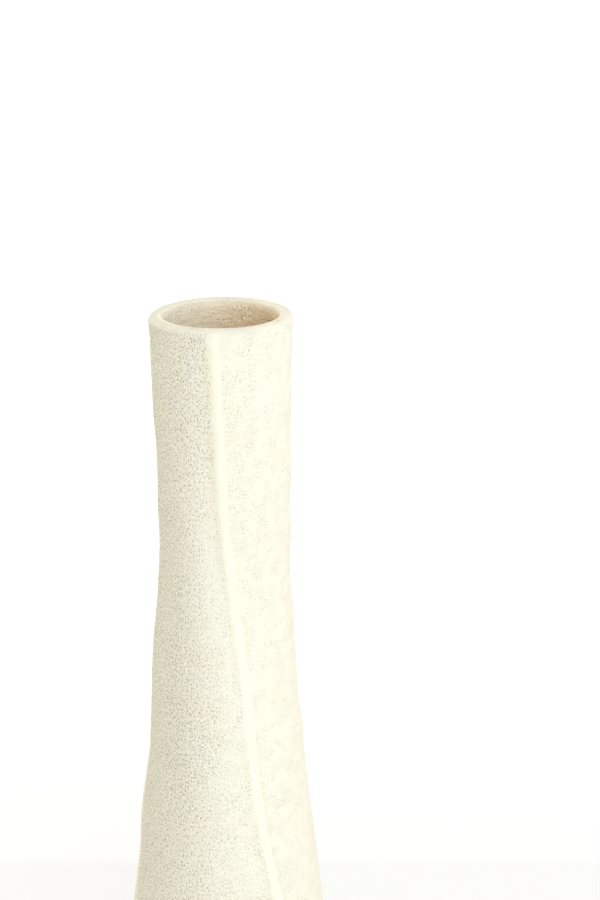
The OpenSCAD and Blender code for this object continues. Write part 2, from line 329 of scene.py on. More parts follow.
class Skin:
    """The wall's surface, as rows of points from the base's underside up the outside, over the
    lip and down the inside.
    """

    def __init__(self):
        self.levels, self.marks = wall_levels()
        seam = seam_angle(self.levels)[:, None]
        offsets = column_offsets(self.levels)
        sectors = range(len(SLABS))
        self.angles = np.concatenate([seam + PITCH * k + offsets for k in sectors], 1)
        nearest = np.minimum(np.abs(offsets), PITCH - np.abs(offsets))
        self.nearest = np.concatenate([nearest for k in sectors], 1)
        base = self.base_rows()
        outer = self.outer_rows()
        lip = self.lip_rows(outer[-1])
        inner = self.inner_rows()
        self.base_end = len(base)
        self.outer_end = self.base_end + len(outer) - 1
        self.lip_end = self.outer_end + len(lip) + 1
        self.points = np.concatenate([base, outer, lip, inner[::-1]], 0)
        self.normals = self.find_normals()

    def outer_rows(self):
        z = self.levels[:, None]
        swell, rib = relief(z, self.nearest)
        fade = smooth((z - WALL_Z) / RIB_RUNOUT)
        ends = 1 - (1 - RIB_LEFT_AT_LIP) * near_lip(z, RIB_RUNOUT)
        bead = LIP_BEAD * near_lip(z, LIP_BEAD_REACH)
        height = np.broadcast_to(z, self.angles.shape)
        lumps = hand_lumps(self.angles, height)
        ring = polar(RIB_RADIUS, self.angles, height)
        uneven = 1 + RIB_LUMPS * noise_at(ring, RIB_LUMP_SIZE, 3)
        radius = plain_radius(z) + lumps + bead + (swell + rib * uneven) * fade * ends
        points = polar(radius, self.angles, height)
        grain = noise_at(points, GRAIN_SIZE, 4) + 0.5 * noise_at(points, GRAIN_SIZE / 2, 5)
        kept = 1 - RIB_WIPED * self.crest_share() - LIP_WIPED * near_lip(z, GRAIN_FADE)
        fine = GRAIN_DEPTH * grain * np.clip(kept, LEAST_GRAIN, 1)
        fine = fine * smooth((z - WALL_Z) / GRAIN_FADE)
        return polar(radius + fine, self.angles, height)

    def crest_share(self):
        """1 on the crest of a rib, falling to 0 at its sides."""
        half = rib_half(self.levels)[:, None]
        return smooth(1 - self.nearest / half)

    def lip_rows(self, below):
        """Rows over the lip, without those that the wall has already."""
        angle = self.angles[-1]
        outside = np.hypot(below[:, 0], below[:, 1])
        lumps = hand_lumps(angle, np.full(COLUMNS, WALL_TOP))
        inside = MOUTH_D / 2 - WALL_T - LIP_EXTRA / 2 + lumps
        ring = polar(SAG_RADIUS, angle, np.zeros(COLUMNS))
        sag = LIP_SAG * (0.5 + 0.5 * noise_at(ring, SAG_SIZE, 6))
        sag += LIP_SAG_LEFT * np.clip(-np.cos(np.radians(angle)), 0, 1) ** 2
        rows = []
        for reach, rise in lip_section():
            radius = outside + (inside - outside) * reach / LIP_W
            rows.append(polar(radius, angle, WALL_TOP + rise - sag * rise / LIP_H))
        return np.array(rows)

    def inner_rows(self):
        z = self.levels[:, None]
        height = np.broadcast_to(z, self.angles.shape)
        bead = (LIP_EXTRA - LIP_BEAD) * near_lip(z, LIP_BEAD_REACH)
        radius = plain_radius(z) - WALL_T - bead + hand_lumps(self.angles, height)
        points = polar(radius, self.angles, height)
        grain = noise_at(points, GRAIN_SIZE, 7)
        kept = 1 - INNER_LIP_WIPED * near_lip(z, GRAIN_FADE)
        return polar(radius + INNER_GRAIN_DEPTH * grain * kept, self.angles, height)

    def base_rows(self):
        """Rows round the base slab's edge, from its underside up to the wall."""
        angle = self.angles[0]
        reach = plain_radius(WALL_Z) + hand_lumps(angle, np.full(COLUMNS, WALL_Z))
        rows = []
        for turn in quarter(BASE_STEPS):
            radius = reach - BASE_ROUND + BASE_ROUND * math.sin(turn)
            height = BASE_Z + BASE_ROUND - BASE_ROUND * math.cos(turn)
            rows.append(polar(radius, angle, np.full(COLUMNS, height)))
        return np.array(rows)

    def find_normals(self):
        p = self.points
        along = np.roll(p, -1, 1) - np.roll(p, 1, 1)
        up = np.empty_like(p)
        up[1:-1] = p[2:] - p[:-2]
        up[0] = p[1] - p[0]
        up[-1] = p[-1] - p[-2]
        n = np.cross(along, up)
        return n / np.linalg.norm(n, axis=-1, keepdims=True)

    def outer_row(self, level):
        return self.base_end + level

    def inner_row(self, level):
        return len(self.points) - 1 - level


# Meshes


def add_extras(mesh, extras):
    """Values at a mesh's points that its material reads."""
    for key, values in extras.items():
        flat = np.asarray(values, np.float32)
        if flat.ndim == 2:
            layer = mesh.attributes.new(key, "FLOAT_VECTOR", "POINT")
            layer.data.foreach_set("vector", flat.ravel())
        else:
            layer = mesh.attributes.new(key, "FLOAT", "POINT")
            layer.data.foreach_set("value", flat)


def add_object(name, data):
    made = bpy.data.objects.new(name, data)
    bpy.context.scene.collection.objects.link(made)
    return made


class Solid:
    """Collects the points and faces of one closed piece."""

    def __init__(self):
        self.points, self.normals = [], []
        self.faces, self.skin = [], []
        self.count = 0

    def add_points(self, points, normals=None):
        """Adds a row of points, or a single one, and gives back their numbers."""
        points = points.reshape(-1, 3)
        self.points.append(points)
        self.normals.append(np.zeros_like(points) if normals is None else normals)
        self.count += len(points)
        return list(range(self.count - len(points), self.count))

    def add_face(self, face, skin=False):
        self.faces.append(face)
        self.skin.append(skin)

    def add_strip(self, first, second, skin, closed=False):
        """Quads between two rows of point numbers, from the lower row to the upper."""
        count = len(first) if closed else len(first) - 1
        for j in range(count):
            k = (j + 1) % len(first)
            self.add_face((first[j], first[k], second[k], second[j]), skin)

    def add_caps(self, first, last, skin=False):
        """Closes the first row and the last one with fans from the two points added last."""
        low, high = self.count - 2, self.count - 1
        for j in range(len(first)):
            k = (j + 1) % len(first)
            self.add_face((low, first[k], first[j]), skin)
            self.add_face((high, last[j], last[k]), skin)

    def all_points(self):
        return np.concatenate(self.points)

    def mesh(self, name):
        made = bpy.data.meshes.new(name)
        made.from_pydata((self.all_points() * MM).tolist(), [], self.faces)
        made.update()
        made.polygons.foreach_set("use_smooth", [True] * len(made.polygons))
        return made

    def make(self, name, extras):
        """A piece cut from the skin, which keeps the skin's normals."""
        mesh = self.mesh(name)
        self.set_normals(mesh)
        add_extras(mesh, extras)
        return add_object(name, mesh)

    def make_soft(self, name, extras, sharp=SHARP):
        """A piece of its own, shaded smooth but for its sharper edges."""
        mesh = self.mesh(name)
        mesh.set_sharp_from_angle(angle=math.radians(sharp))
        add_extras(mesh, extras)
        return add_object(name, mesh)

    def set_normals(self, mesh):
        """Skin faces share the skin's normals over the joints, and joint faces are flat."""
        vertex = np.empty(len(mesh.loops), np.int32)
        mesh.loops.foreach_get("vertex_index", vertex)
        total = np.empty(len(mesh.polygons), np.int32)
        mesh.polygons.foreach_get("loop_total", total)
        flat = np.empty(len(mesh.polygons) * 3, np.float32)
        mesh.polygons.foreach_get("normal", flat)
        face = np.repeat(np.arange(len(total)), total)
        on_skin = np.array(self.skin)[face][:, None]
        own = np.concatenate(self.normals)[vertex]
        mesh.normals_split_custom_set(
            np.where(on_skin, own, flat.reshape(-1, 3)[face]).tolist()
        )


def take(skin, row, columns):
    index = [c % COLUMNS for c in columns]
    return skin.points[row][index], skin.normals[row][index]


def land_point(skin, level, column):
    """Where the V groove of a seam ends, just outside the inner face."""
    inside = skin.points[skin.inner_row(level)][column % COLUMNS]
    out = inside * FLAT
    return inside + out / np.linalg.norm(out) * LAND


def place_on_slab(points, sector=None):
    """Where points lie: the angle on from the front seam, the number of the slab, and how far
    they are across it from its middle, out of how far its edge is.
    """
    angle = np.degrees(np.arctan2(points[:, 1], points[:, 0]))
    from_seam = (angle - seam_angle(points[:, 2])) % 360
    own = np.minimum(from_seam // PITCH, len(SLABS) - 1) if sector is None else sector
    off = (from_seam - PITCH * (own + 0.5) + 180) % 360 - 180
    radius = plain_radius(np.clip(points[:, 2], WALL_Z, WALL_TOP))
    return from_seam, own, np.radians(off) * radius, np.radians(PITCH / 2) * radius


def glaze_extras(points, sector=None):
    """What the glaze's material reads at each point.

    These are how smooth it lies, which is partly painted light, how far down the inside it is and
    how much tan painted shade the inside has there, the shares of the painted shade on the lip
    and beside the ribs, and the point's place on its slab.
    """
    x, z = points[:, 0], points[:, 2]
    from_seam, own, across, edge = place_on_slab(points, sector)
    middle = plain_radius(np.clip(z, WALL_Z, WALL_TOP)) - WALL_T / 2
    inner = np.hypot(x, points[:, 1]) < middle
    from_rib = edge - np.abs(across)
    left = (across > 0) & (own == SLABS.index("left"))
    right = (across < 0) & (own == SLABS.index("right"))
    # painted light on the inner left, where light falls in over the lip
    inner_lit = inner * (1 - smooth(INNER_LIT_SHARE + INNER_LIT_SHARE * x / middle))
    down = smooth((VASE_H + DOWN_FROM - z) / DOWN_DROP) * inner
    joint = 1 - smooth((from_rib - JOINT_LINE) / JOINT_LINE)
    seam = 1 - smooth((from_rib - SMOOTH_SEAM) / SMOOTH_SEAM_FADE)
    seam = np.maximum(joint, seam * np.where(left | right, 1.0, OTHER_SEAMS))
    # pits filled in beside the front seam: painted light
    outside = np.maximum(seam, light_filled_pits(from_seam, z))
    top = LIP_SMOOTH * smooth((z - WALL_TOP + LIP_INNER_LIT * inner_lit) / LIP_SMOOTH_RISE)
    top = np.maximum(top, joint * (z >= WALL_TOP))
    # painted shade on the lip, left off on its lit right
    tone = smooth((z - WALL_TOP + LIP_SHADE_BELOW) / LIP_SHADE_RISE)
    pale = LIP_RIGHT * smooth(LIP_RIGHT_SLOPE * x / middle - LIP_RIGHT_FROM)
    return {
        "smoothness": np.maximum(top, np.where(inner, INNER_LIT_SMOOTH * inner_lit, outside)),
        "down": down,
        # tan painted shade down the inside, lifted by the painted light on the inner left
        "inside": down * (1 - INNER_LIT_CREAM * inner_lit),
        "lip": tone * (1 - pale),
        # painted shade beside the ribs
        "rib_shade": rib_side_shade(z, from_rib, left, right) * ~inner,
        "place": np.stack([across + SLAB_APART * own, z, 0 * z], 1) * MM,
    }


def light_filled_pits(from_seam, z):
    """How far the pits are filled in on both sides of the front seam, more so lower down: painted
    light.
    """
    low = smooth((GROWS_BELOW - z) / RIGHT_GROWTH)
    near = RIGHT_NEAR + (RIGHT_NEAR_LOW - RIGHT_NEAR) * low
    right = near + (RIGHT_FAR - near) * smooth(from_seam / RIGHT_REACH)
    end = 1 - smooth((from_seam - RIGHT_END) / RIGHT_FADE)
    right = right * smooth(from_seam / RIGHT_START) * end
    low = smooth((GROWS_BELOW - z) / LEFT_GROWTH)
    left = LEFT_NEAR + (LEFT_NEAR_LOW - LEFT_NEAR) * low
    reach = LEFT_REACH + (LEFT_REACH_LOW - LEFT_REACH) * smooth((SPREAD_FROM - z) / SPREAD)
    return np.maximum(right, left * (1 - smooth((360 - from_seam) / reach)))


def rib_side_shade(z, from_rib, left, right):
    """Painted shade beside the ribs, most of all on the left of the front one."""
    low = smooth((GROWS_BELOW - z) / RIGHT_GROWTH)
    side = np.where(left, FLANK_FRONT + (FLANK_FRONT_LOW - FLANK_FRONT) * low, FLANK_OTHER)
    rib_shade = np.exp(-(((from_rib - FLANK) / FLANK_W) ** 2)) * side
    high = RIGHT_SHADE * smooth((z - RIGHT_SHADE_FROM) / RIGHT_SHADE_RISE)
    return np.maximum(rib_shade, high * (1 - smooth(from_rib / RIGHT_SHADE_W)) * right)


def lip_highlight_line(points):
    """The line along the lip's inner edge, at the left and front, where a highlight is painted.
    """
    reach = [0.0, *(r for r, _ in lip_section()), LIP_W]
    line = np.exp(-(((np.repeat(reach, COLUMNS) - LIP_HIGHLIGHT_AT) / LIP_HIGHLIGHT_W) ** 2))
    back = points[:, 1] / np.hypot(points[:, 0], points[:, 1])
    return line * smooth(LIP_HIGHLIGHT_BACK - LIP_HIGHLIGHT_FALL * back)


def make_slab(skin, course, k):
    """A slab of one course, with the V grooves for the seams down both its edges."""
    solid = Solid()
    outer_columns = range(k * SECTOR + RIB_STEPS, (k + 1) * SECTOR + 1)
    inner_columns = range(k * SECTOR + CENTRE, (k + 1) * SECTOR + CENTRE + 1)
    rings = []
    low, high = skin.marks[course], skin.marks[course + 1]
    for level in range(low, high + 1):
        outer = take(skin, skin.outer_row(level), outer_columns)
        inner = take(skin, skin.inner_row(level), inner_columns)
        ring = {"outer": solid.add_points(*outer)}
        ring["last"] = solid.add_points(land_point(skin, level, inner_columns[-1]))[0]
        ring["inner"] = solid.add_points(inner[0][::-1], inner[1][::-1])[::-1]
        ring["first"] = solid.add_points(land_point(skin, level, inner_columns[0]))[0]
        rings.append(ring)
    for a, b in zip(rings, rings[1:]):
        solid.add_strip(a["outer"], b["outer"], True)
        solid.add_strip(a["inner"][::-1], b["inner"][::-1], True)
        solid.add_face((a["outer"][-1], a["last"], b["last"], b["outer"][-1]))
        solid.add_face((a["last"], a["inner"][-1], b["inner"][-1], b["last"]))
        solid.add_face((a["inner"][0], a["first"], b["first"], b["inner"][0]))
        solid.add_face((a["first"], a["outer"][0], b["outer"][0], b["first"]))
    close_slab(solid, rings[0], down=True)
    close_slab(solid, rings[-1], down=False)
    name = f"{COURSES[course]}_{SLABS[k]}_slab"
    extras = glaze_extras(solid.all_points(), sector=k)
    return solid.make(f"{name}_finished", extras), name


def close_slab(solid, ring, down):
    """Faces over one end of a slab."""
    outer, inner = ring["outer"], ring["inner"]
    faces = []
    for j in range(len(outer) - 1):
        i = j + CENTRE
        faces.append((outer[j], inner[i], inner[i + 1], outer[j + 1]))
    for j in range(CENTRE):
        faces.append((ring["first"], inner[j], inner[j + 1]))
        i = len(inner) - 2 - j
        faces.append((ring["last"], inner[i], inner[i + 1]))
    faces.append((ring["first"], inner[CENTRE], outer[0]))
    faces.append((ring["last"], outer[-1], inner[-1 - CENTRE]))
    for face in faces:
        solid.add_face(face if down else face[::-1])


def make_seam(skin, k):
    """The coil in a seam: its rib in the skin, and its root down in the V groove."""
    solid = Solid()
    columns = range(k * SECTOR, k * SECTOR + RIB_STEPS + 1)
    rings = []
    for level in range(skin.marks[0], skin.marks[-1] + 1):
        rib = solid.add_points(*take(skin, skin.outer_row(level), columns))
        rings.append(rib + solid.add_points(land_point(skin, level, k * SECTOR + CENTRE)))
    for a, b in zip(rings, rings[1:]):
        solid.add_strip(a[:-1], b[:-1], True)
        solid.add_face((a[-2], a[-1], b[-1], b[-2]))
        solid.add_face((a[-1], a[0], b[0], b[-1]))
    for j in range(RIB_STEPS):
        low, high = rings[0], rings[-1]
        solid.add_face((low[-1], low[j + 1], low[j]))
        solid.add_face((high[-1], high[j], high[j + 1]))
    name = f"{SEAMS[k]}_seam_coil"
    return solid.make(f"{name}_finished", glaze_extras(solid.all_points())), name


def make_lip(skin):
    """The rounded coil on top, down to its flat seat on the slabs."""
    solid = Solid()
    rows = []
    for row in range(skin.outer_end, skin.lip_end + 1):
        rows.append(solid.add_points(*take(skin, row, range(COLUMNS))))
    for a, b in zip(rows, rows[1:]):
        solid.add_strip(a, b, True, closed=True)
    solid.add_strip(rows[-1], rows[0], False, closed=True)
    extras = glaze_extras(solid.all_points())
    # painted highlight along the lip's inner edge
    extras["crest"] = lip_highlight_line(solid.all_points())
    return solid.make("lip_coil_finished", extras), "lip_coil"


def make_base(skin):
    """The base slab: underside, rounded edge, seat of the wall, step and inside floor."""
    solid = Solid()
    ring = polar(1.0, skin.angles[0], np.zeros(COLUMNS)) * FLAT
    edge = [take(skin, row, range(COLUMNS)) for row in range(skin.outer_row(0) + 1)]
    edge_radius = np.hypot(edge[0][0][:, 0], edge[0][0][:, 1])
    rows, skins = [], []

    def add_row(points, normals=None, smooth_above=True):
        rows.append(solid.add_points(points, normals))
        skins.append(smooth_above)

    for radius in UNDER_RINGS:
        own = ring * np.minimum(radius, edge_radius - EDGE_CLEAR)[:, None]
        lump = UNDER_LUMPS * (1 + noise_at(own, UNDER_LUMP_SIZE, 8))
        lump = lump * (radius < FOOT_RING_OUT - FOOT_RING_W)
        points = own + UP * BASE_Z + UP * lump[:, None]
        add_row(points, np.broadcast_to(-UP, points.shape))
    for points, normals in edge:
        add_row(points, normals)
    seat = float(plain_radius(WALL_Z)) - WALL_T - GAP
    skins[-1] = False
    add_row(ring * seat + UP * WALL_Z, smooth_above=False)
    add_row(ring * seat + UP * (FLOOR_Z - STEP_BEVEL), smooth_above=False)
    for radius in FLOOR_RINGS:
        own = ring * radius
        lump = FLOOR_LUMPS * noise_at(own, FLOOR_LUMP_SIZE, 9) * (radius < FLOOR_RINGS[0])
        points = own + UP * FLOOR_Z + UP * lump[:, None]
        add_row(points, np.broadcast_to(UP, points.shape))
    for i in range(len(rows) - 1):
        solid.add_strip(rows[i], rows[i + 1], skins[i], closed=True)
    solid.add_points(UP * BASE_Z, -UP[None])
    solid.add_points(UP * FLOOR_Z, UP[None])
    solid.add_caps(rows[0], rows[-1], True)
    return solid.make("base_slab_finished", base_extras(solid.all_points())), "base_slab"


def base_extras(points):
    """The wall's glaze runs on over the base slab's edge, and is wiped thin round the foot."""
    height, radius = points[:, 2], np.hypot(points[:, 0], points[:, 1])
    under = (height < BASE_Z + FOOT_WIPED) & (radius < FOOT_RING_OUT)
    inside = height > (WALL_Z + FLOOR_Z) / 2
    extras = glaze_extras(points)
    wiped = 1 - smooth((height - BASE_Z - FOOT_WIPED) / FOOT_WIPED_RISE)
    edge = np.maximum(extras["smoothness"], wiped)
    below = np.where(radius < PAD_CIRCLE, UNDER_SMOOTH, edge)
    extras["smoothness"] = np.where(inside, FLOOR_SMOOTH, below)
    # the inside floor takes the inside's full tan painted shade
    extras["inside"] = 1.0 * inside
    extras["place"] = np.where((under | inside)[:, None], points * FLAT * MM, extras["place"])
    return extras


def make_ring(section, wobble):
    """A closed ring from a section of radius and height, with an unevenness of its own."""
    angle = np.arange(RING_COLUMNS) * 360.0 / RING_COLUMNS
    solid = Solid()
    rows = []
    for radius, height in section:
        points = polar(radius, angle, height)
        rows.append(solid.add_points(points + wobble(points, angle, radius, height)))
    for i in range(len(rows)):
        solid.add_strip(rows[i], rows[(i + 1) % len(rows)], False, closed=True)
    return solid


def make_corner_coil():
    """Coil pressed into the inside corner with a fingertip, so its face is dimpled."""
    radii = plain_radius((FLOOR_Z, FLOOR_Z + CORNER_COIL))
    outside = float(radii.min()) - WALL_T - GAP
    section = []
    for turn in quarter(COIL_STEPS)[::-1]:
        reach = CORNER_COIL * math.cos(turn)
        section.append((outside - reach, FLOOR_Z + CORNER_COIL * math.sin(turn)))
    section.append((outside - CORNER_COIL / 2, FLOOR_Z))
    section.append((outside, FLOOR_Z))
    section.append((outside, FLOOR_Z + CORNER_COIL / 2))

    def wobble(points, angle, radius, height):
        face = (outside - radius) * (height - FLOOR_Z) / (CORNER_COIL / 2) ** 2
        pressed = DIMPLE_SHARE * np.cos(np.radians(angle * DIMPLES))
        pressed = pressed + DIMPLE_LUMPS * noise_at(points, DIMPLE_LUMP_SIZE, 10)
        depth = DIMPLE_DEPTH * max(0.0, min(1.0, face)) * (0.5 + 0.5 * pressed)
        return (points * FLAT / radius - UP) * depth[:, None]

    solid = make_ring(section, wobble)
    extras = glaze_extras(solid.all_points())
    extras["smoothness"] = np.full(solid.count, FLOOR_SMOOTH)
    return solid.make_soft("corner_coil_finished", extras), "corner_coil"


def make_foot_ring():
    """Unglazed ring, trimmed round its edges and faced to the base."""
    inner = FOOT_RING_OUT - FOOT_RING_W
    low, high = PAD_T, BASE_Z
    section = []

    def corner(radius, height, start):
        for turn in quarter(BEVEL_STEPS):
            turn += math.radians(start)
            reach = FOOT_BEVEL * math.cos(turn)
            section.append((radius + reach, height + FOOT_BEVEL * math.sin(turn)))

    corner(inner + FOOT_BEVEL, low + FOOT_BEVEL, 180)
    section.append((PAD_CIRCLE - FOOT_FLAT, low))
    section.append((PAD_CIRCLE + FOOT_FLAT, low))
    corner(FOOT_RING_OUT - FOOT_BEVEL, low + FOOT_BEVEL, 270)
    section.append((FOOT_RING_OUT, high - FOOT_TOP))
    section.append((FOOT_RING_OUT, high))
    section.append((PAD_CIRCLE, high))
    section.append((inner, high))
    section.append((inner, high - FOOT_TOP))

    def wobble(points, angle, radius, height):
        free = low + FOOT_STILL_LOW < height < high - FOOT_STILL_HIGH
        side = -1 if radius > PAD_CIRCLE else 1
        lump = FOOT_LUMPS * (1 + noise_at(points, FOOT_LUMP_SIZE, 11))
        lump = lump + FOOT_GRAIN * noise_at(points, FOOT_GRAIN_SIZE, 12)
        return points * FLAT / radius * (side * lump * free)[:, None]

    return make_ring(section, wobble).make_soft("foot_ring_finished", {}), "foot_ring"


def make_pad(number):
    """A felt disc with a soft, slightly spread edge."""
    turn = math.radians(90 * (number - 1))
    centre = np.array((PAD_CIRCLE * math.cos(turn), PAD_CIRCLE * math.sin(turn), 0.0))
    angle = np.arange(PAD_COLUMNS) * 360.0 / PAD_COLUMNS
    solid = Solid()
    rows = []
    for radius, height in PAD_SECTION:
        points = polar(radius, angle, height)
        if radius > FUZZ_FROM and 0 < height < PAD_T:
            fuzz = FUZZ * noise_at(points + number * PADS_APART, FUZZ_SIZE, 13) - FUZZ_IN
            points = points * (1 + fuzz[:, None] / radius * FLAT)
        rows.append(solid.add_points(points + centre))
    for a, b in zip(rows, rows[1:]):
        solid.add_strip(a, b, False, closed=True)
    solid.add_points(centre)
    solid.add_points(centre + UP * PAD_T)
    solid.add_caps(rows[0], rows[-1])
    name = f"felt_pad_{number}"
    return solid.make_soft(f"{name}_finished", {}, PAD_SHARP), name


# Materials


class Shader:
    """Adds nodes to one new material or world and joins them."""

    def __init__(self, owner):
        self.owner = owner
        owner.use_nodes = True
        self.tree = owner.node_tree
        self.tree.nodes.clear()

    def add(self, kind, settings=None, **inputs):
        made = self.tree.nodes.new("ShaderNode" + kind)
        for key, value in (settings or {}).items():
            setattr(made, key, value)
        for key, value in inputs.items():
            self.put(made.inputs[key.replace("_", " ")], value)
        return made

    def put(self, socket, value):
        if isinstance(value, bpy.types.NodeSocket):
            self.tree.links.new(value, socket)
        else:
            socket.default_value = value

    def fill(self, node, *values):
        for socket, value in zip(node.inputs, values):
            self.put(socket, value)
        return node

    def math(self, operation, a, b, kind="Math"):
        return self.fill(self.add(kind, {"operation": operation}), a, b).outputs[0]

    def vector(self, operation, a, b):
        return self.math(operation, a, b, "VectorMath")

    def times(self, a, b):
        return self.math("MULTIPLY", a, b)

    def mix(self, share, a, b):
        made = self.add("Mix", {"data_type": "RGBA"}, Factor=share)
        colours = [s for s in made.inputs if s.type == "RGBA"]
        self.put(colours[0], a)
        self.put(colours[1], b)
        return [s for s in made.outputs if s.type == "RGBA"][0]

    def noise(self, where, scale, detail=2.0, rough=0.5):
        return self.add("TexNoise", Vector=where, Scale=scale, Detail=detail, Roughness=rough)

    def span(self, value, low, high, to_low=0.0, to_high=1.0):
        made = self.add("MapRange", {"interpolation_type": "SMOOTHSTEP"})
        return self.fill(made, value, low, high, to_low, to_high).outputs[0]

    def patches(self, where, scale, ends, detail=2.0, rough=0.5, least=0.0):
        """Noise spread out to run from least to 1 between two of its values."""
        value = self.noise(where, scale, detail, rough).outputs["Fac"]
        return self.span(value, *ends, least)

    def dots(self, distance, chance, sizes):
        """1 in the middle of a dot, whose size is random between two, and 0 outside it."""
        size = self.span(chance, 0.0, 1.0, *sizes)
        return self.span(distance, size, self.times(size, DOT_CORE))

    def bump(self, height, distance):
        made = self.add("Bump", Height=height, Strength=1.0, Distance=distance)
        return made.outputs[0]

    def attribute(self, name):
        return self.add("Attribute", {"attribute_name": name}).outputs["Fac"]

    def where(self):
        return self.add("TexCoord").outputs["Object"]

    def finish(self, **values):
        shader = self.add("BsdfPrincipled", **values)
        self.fill(self.add("OutputMaterial"), shader.outputs[0])
        return self.owner

    def show_both(self, light, seen, output):
        """Lights the object with one shader, and shows the other as the background.

        The background is what rays from the camera, mirrored rays and rays let through see.
        """
        path = self.add("LightPath").outputs
        share = self.math("MAXIMUM", path["Is Camera Ray"], path["Is Glossy Ray"])
        share = self.math("MAXIMUM", share, path["Is Transmission Ray"])
        both = self.fill(self.add("MixShader"), share, light.outputs[0], seen.outputs[0])
        self.fill(self.add(output), both.outputs[0])


def colour(red, green, blue):
    """A colour as it shows on screen, from 0 to 255, as Blender's linear values."""
    out = []
    for c in (red, green, blue):
        c = c / 255
        out.append(c / 12.92 if c <= 0.04045 else ((c + 0.055) / 1.055) ** 2.4)
    return (*out, 1.0)


CREAM = colour(245, 243, 230)
CREAM_COOL = colour(243, 242, 228)
CREAM_WARM = colour(244, 240, 225)
# the tone of the painted shade on the lip
LIP_SHADE_TONE = colour(237, 235, 222)
# the painted highlight along the lip's inner edge
LIP_HIGHLIGHT_TONE = colour(254, 252, 248)
# the tone of the painted shade beside the ribs
RIB_SHADE_TONE = colour(235, 233, 215)
# painted shade in the pinholes and in the hollows of the grain
PIT_SHADE = colour(172, 156, 122)
# tan painted shade down the inside, deeper in its pits
INNER_SHADE_TAN = colour(250, 229, 196)
INNER_PIT_SHADE = colour(206, 174, 134)
INNER_PIT_SHADE_SHARE = 0.3
NOISE_ENDS = (0.35, 0.65)  # most of a noise's values lie between these
SCATTER = 0.85  # of the middles of the cells that pits and specks lie in
PITS_PER_M = 600.0
PIT_SIZES = (0.11, 0.21)  # half widths, as shares of a cell
DOT_CORE = 0.4  # the share of its width in which a pit or speck is at its fullest
DISH_REACH = 0.5  # of the hollow round a pit
PIT_WANDER, WANDERS_PER_M = 0.0014, 420.0
PIT_DRAW = 0.75  # pits are drawn out up and down the wall
PIT_DEPTH, DISH_DEPTH, GRAIN_RISE = 0.45, 0.25, 0.9  # mm
CROWDS_PER_M, CROWD_ENDS, THIN_CROWD = 95.0, (0.36, 0.64), 0.6  # pits crowd in some places
CALMS_PER_M, LEAST_CALM = 160.0, 0.75  # and smooth glaze is smoother in some
ALL_CALM = (0.85, 0.98)  # from here on it has no pits at all
# GRAIN_SHADE is how much painted shade the grain's hollows take
GRAIN_PER_M, GRAIN_SHADE = 1600.0, 0.3
TINTS_PER_M, TINT_ENDS = 62.0, (0.38, 0.62)
CREAMS_PER_M, CREAM_SHARE = 150.0, 0.6
WIPES_PER_M, WIPE_DRAW, WIPE_RISE = 420.0, (0.3, 0.3, 1.0), 0.75  # finger marks round the inside
GLAZE_ROUGH, PIT_ROUGH = 0.72, 0.95
CLAY_DARK, CLAY_PALE = colour(205, 184, 150), colour(216, 199, 168)
IRON, IRON_SHARE = colour(110, 84, 60), 0.7
SAND, SAND_ENDS, SAND_SHARE, SAND_RISE = colour(232, 220, 196), (0.55, 0.8), 0.35, 0.25  # mm
TONES_PER_M, SPECKS_PER_M, SAND_PER_M = 70.0, 260.0, 1300.0
SPECK_SIZES = (0.02, 0.2)
CLAY_ROUGH = (0.85, 0.95)
# FELT_SHADE is the painted shade between the tufts
FELT_SHADE, FELT_PALE = colour(150, 145, 136), colour(196, 191, 181)
TUFTS_PER_M, HAIRS_PER_M, TUFT_SHARE, PILE_RISE = 900.0, 3200.0, 0.6, 0.35  # mm


def cells(s, where, scale, flat):
    """Distance from the middle of the nearest cell, in cells, and a random number of the cell."""
    kind = {"feature": "F1", "voronoi_dimensions": "2D" if flat else "3D"}
    made = s.add("TexVoronoi", kind, Vector=where, Scale=scale, Randomness=SCATTER)
    split = s.add("SeparateColor", Color=made.outputs["Color"])
    return made.outputs["Distance"], split.outputs[0]


